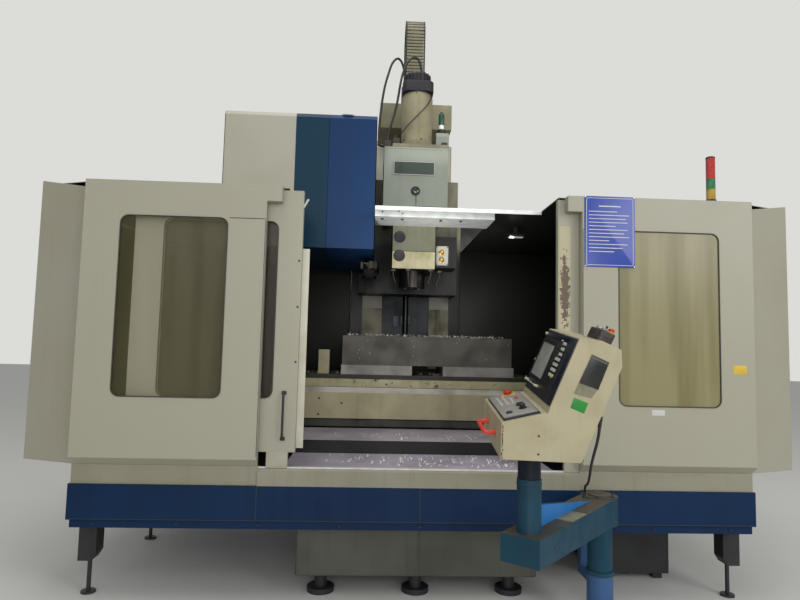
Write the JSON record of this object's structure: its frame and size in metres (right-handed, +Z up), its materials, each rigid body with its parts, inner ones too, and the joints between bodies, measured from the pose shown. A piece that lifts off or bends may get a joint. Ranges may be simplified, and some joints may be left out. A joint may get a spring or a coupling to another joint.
{
  "type": "cnc machining center",
  "caption": "Large vertical machining centre: cross table under a moving head, tool changer on the left, cabin with sliding doors and a control desk on a swing arm.",
  "frame": {"origin": "on the floor, straight below the spindle axis, at the centre of a levelling pad", "axes": "+X right as the operator sees it, along the table; +Y back from the operator to the column; +Z up"},
  "size_m": [4.524, 4.0602, 4.2199],
  "materials": {
    "cream_paint": "satin enamel, dirty in places",
    "navy_paint": "satin enamel",
    "teal_paint": "satin enamel, worn",
    "blue_grey_paint": "satin enamel, worn",
    "dark_paint": "satin, oily",
    "grey_casting": "painted casting, oily",
    "oily_steel": "ground, with oil and chips",
    "zinc_plate": "zinc coated sheet",
    "window_pane": "tinted, dirty",
    "black_plastic": "matt",
    "hose_rubber": "matt black sheath",
    "chain_plastic": "dull plastic links",
    "lens_plastic": "translucent, in three colours",
    "board_blue": "smooth printed board, bare",
    "red_plastic": "smooth",
    "turned_alu": "turned"
  },
  "bodies": {
    "machine": {"bed": "grey_casting", "levelling_feet": "dark_paint", "base_skirt": "navy_paint", "front_aprons": "cream_paint", "front_panels": "cream_paint", "front_windows": "window_pane", "left_side_wall": "cream_paint", "right_side_wall": "cream_paint", "rear_wall": "cream_paint", "roof": "cream_paint", "roof_beam": "zinc_plate", "door_rails": "zinc_plate", "column": "grey_casting", "column_way_covers": "oily_steel", "column_panel": "navy_paint", "drive_motors": "dark_paint", "ball_screws": "oily_steel", "drum_housing": "cream_paint", "changer_cover": "navy_paint", "changer_frame": "grey_casting", "electrical_cabinet": "cream_paint", "coolant_tank": "dark_paint", "coolant_pump": "teal_paint", "stack_light_base": "black_plastic", "stack_lenses": "lens_plastic", "sign_board": "board_blue", "work_light": "zinc_plate", "pedestal": "blue_grey_paint", "front_way_cover": "oily_steel", "energy_chain": "chain_plastic"},
    "cabinet_door": {"cabinet_door": "cream_paint"},
    "left_door": {"left_door": "cream_paint", "left_door_pane": "window_pane", "left_door_handle": "black_plastic"},
    "right_door": {"right_door": "cream_paint", "right_door_pane": "window_pane", "right_door_handle": "black_plastic"},
    "middle_cover": {"middle_way_cover": "oily_steel"},
    "saddle": {"saddle": "grey_casting"},
    "table": {"table": "oily_steel", "table_guard": "cream_paint", "steel_block": "oily_steel"},
    "head": {"head_casting": "cream_paint", "head_hood": "cream_paint", "head_fittings": "black_plastic", "head_hoses": "hose_rubber", "spindle_motor": "dark_paint"},
    "spindle": {"spindle": "oily_steel"},
    "tool_drum": {"tool_drum": "oily_steel"},
    "change_arm": {"change_arm": "oily_steel"},
    "swing_arm": {"swing_arm": "teal_paint"},
    "desk": {"desk_swivel": "dark_paint", "desk_housing": "cream_paint", "desk_panels": "black_plastic", "desk_cable": "hose_rubber", "handwheel_unit": "black_plastic"},
    "emergency_button": {"emergency_button": "red_plastic"},
    "feed_knob": {"feed_knob": "black_plastic"},
    "handwheel_dial": {"handwheel_dial": "turned_alu"}
  },
  "joints": [
    {"name": "left_door_slide", "type": "slide", "parent": "machine", "child": "left_door", "axis": [1, 0, 0], "range_m": [-0.08, 0.711]},
    {"name": "right_door_slide", "type": "slide", "parent": "machine", "child": "right_door", "axis": [-1, 0, 0], "range_m": [-0.08, 0.787]},
    {"name": "cabinet_door_hinge", "type": "hinge", "parent": "machine", "child": "cabinet_door", "pos_m": [1.716, 1.4705, 1], "axis": [0, 0, -1], "range_deg": [0, 110]},
    {"name": "saddle_slide", "type": "slide", "parent": "machine", "child": "saddle", "axis": [0, 1, 0], "range_m": [-0.8, 0]},
    {"name": "middle_cover_slide", "type": "slide", "parent": "machine", "child": "middle_cover", "axis": [0, 1, 0], "range_m": [-0.48, 0]},
    {"name": "table_slide", "type": "slide", "parent": "saddle", "child": "table", "axis": [1, 0, 0], "range_m": [-0.9, 0.9]},
    {"name": "head_slide", "type": "slide", "parent": "machine", "child": "head", "axis": [0, 0, 1], "range_m": [-0.32, 0.4], "deforming": ["energy_chain"]},
    {"name": "spindle_spin", "type": "hinge", "parent": "head", "child": "spindle", "pos_m": [0, 0, 1.9], "axis": [0, 0, 1], "continuous": true},
    {"name": "drum_turn", "type": "hinge", "parent": "machine", "child": "tool_drum", "pos_m": [-1.13, 0, 2.5535], "axis": [1, 0, 0], "continuous": true},
    {"name": "change_arm_turn", "type": "hinge", "parent": "machine", "child": "change_arm", "pos_m": [-0.332, 0, 2.02], "axis": [0, 0, 1], "range_deg": [0, 25]},
    {"name": "arm_swing", "type": "hinge", "parent": "machine", "child": "swing_arm", "pos_m": [0.955, -1.35, 0.3], "axis": [0, 0, 1], "range_deg": [-30, 60]},
    {"name": "desk_turn", "type": "hinge", "parent": "swing_arm", "child": "desk", "pos_m": [0.396, -2.006, 0.9], "axis": [0, 0, 1], "range_deg": [-60, 60]},
    {"name": "emergency_press", "type": "slide", "parent": "desk", "child": "emergency_button", "axis": [0.2372, 0.0999, -0.9663], "range_m": [0, 0.005], "stiffness_N_per_m": 2500, "springref_m": -0.001},
    {"name": "feed_knob_turn", "type": "hinge", "parent": "desk", "child": "feed_knob", "pos_m": [0.33454, -2.08577, 1.20618], "axis": [-0.2372, -0.0999, 0.9663], "range_deg": [-150, 150]},
    {"name": "dial_turn", "type": "hinge", "parent": "desk", "child": "handwheel_dial", "pos_m": [0.65216, -2.16673, 1.53046], "axis": [0.4019, -0.1209, 0.9077], "continuous": true}
  ],
  "couplings": [
    {"joint": "middle_cover_slide", "follows": "saddle_slide", "ratio": 0.6}
  ]
}
